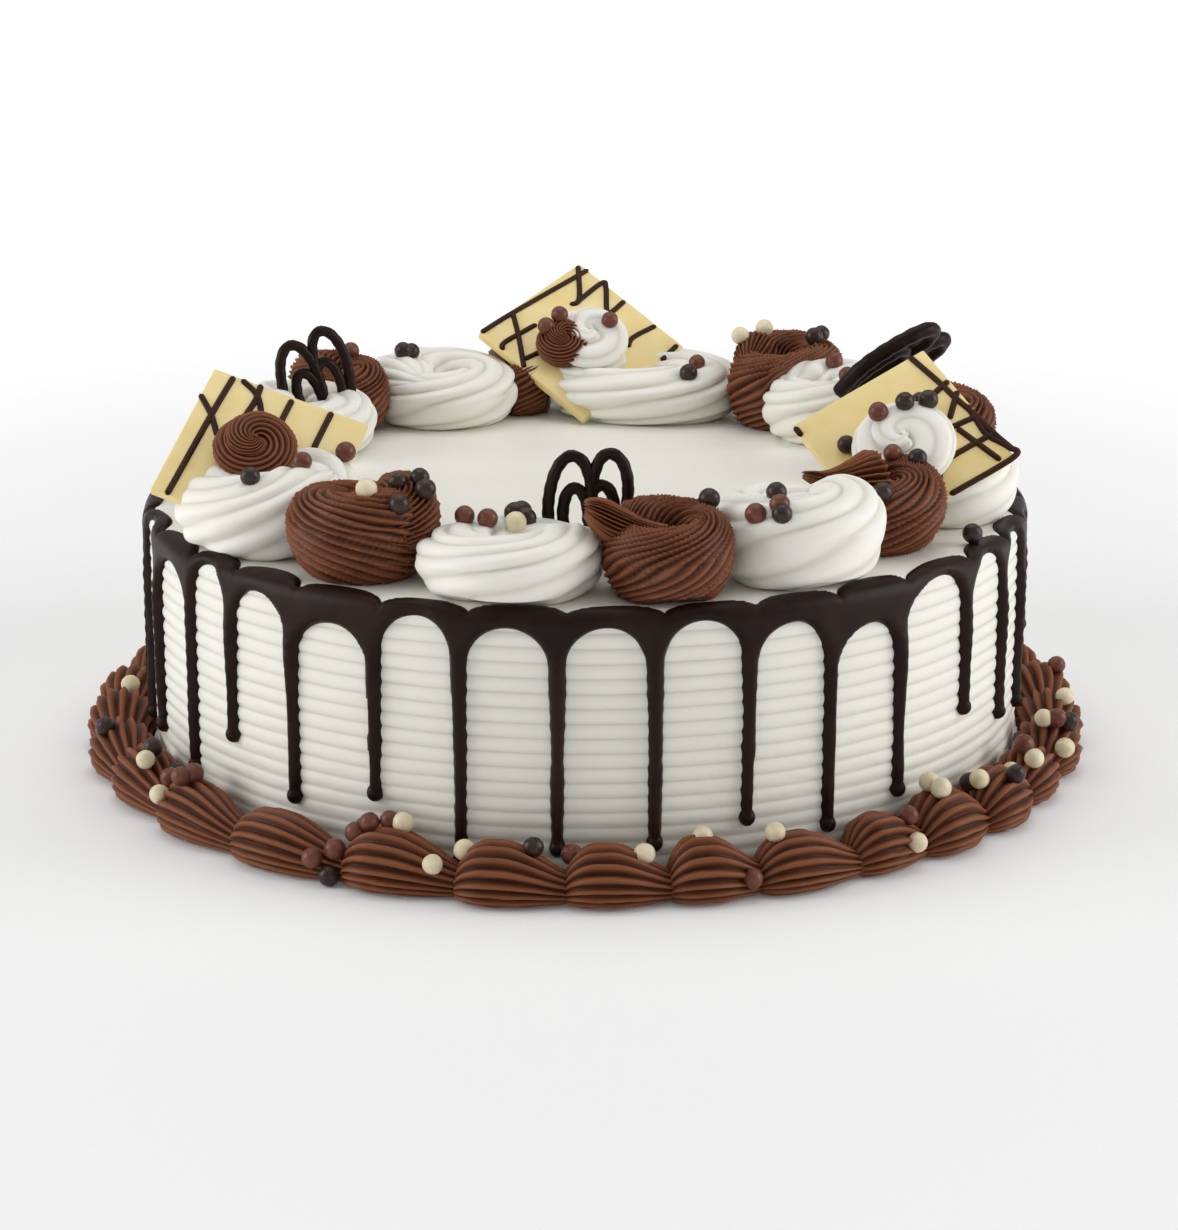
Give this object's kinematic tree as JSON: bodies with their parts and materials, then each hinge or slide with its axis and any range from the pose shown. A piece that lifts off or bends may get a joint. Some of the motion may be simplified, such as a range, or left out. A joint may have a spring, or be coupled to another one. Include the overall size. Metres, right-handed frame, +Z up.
{
  "type": "black forest cake",
  "caption": "Whole round iced layer cake with combed sides, a chocolate drip, a piped shell foot, and a ring of rosettes with chocolate squares, filigrees and crisp pearls.",
  "frame": {"origin": "centre of the cake's flat base, on the surface it stands on", "axes": "+Z up; -Y is the side seen in the picture, +X to its right"},
  "size_m": [0.2348, 0.2354, 0.098],
  "materials": {
    "white_icing": "soft satin whipped icing, combed or piped",
    "brown_icing": "soft satin chocolate buttercream, ribbed by the piping tip",
    "dark_chocolate": "satin poured or piped dark chocolate",
    "white_chocolate": "smooth moulded white chocolate with dark drizzle"
  },
  "bodies": {
    "root": {"iced_cake": "white_icing", "chocolate_drip": "dark_chocolate", "shell_border": "brown_icing", "rosette_white_01": "white_icing", "rosette_white_02": "white_icing", "rosette_white_03": "white_icing", "rosette_white_04": "white_icing", "rosette_white_05": "white_icing", "rosette_white_06": "white_icing", "rosette_white_07": "white_icing", "rosette_white_08": "white_icing", "rosette_brown_01": "brown_icing", "rosette_brown_02": "brown_icing", "rosette_brown_03": "brown_icing", "rosette_brown_04": "brown_icing", "rosette_brown_05": "brown_icing", "rosette_brown_06": "brown_icing", "rosette_brown_07": "brown_icing", "rosette_brown_08": "brown_icing", "chocolate_square_left": "white_chocolate", "chocolate_square_right": "white_chocolate", "chocolate_square_back": "white_chocolate", "dollop_white_right": "white_icing", "dollop_white_back": "white_icing", "dollop_brown_left": "brown_icing", "dollop_brown_back": "brown_icing", "filigree_front": "dark_chocolate", "filigree_left": "dark_chocolate", "filigree_right": "dark_chocolate"}
  },
  "joints": []
}
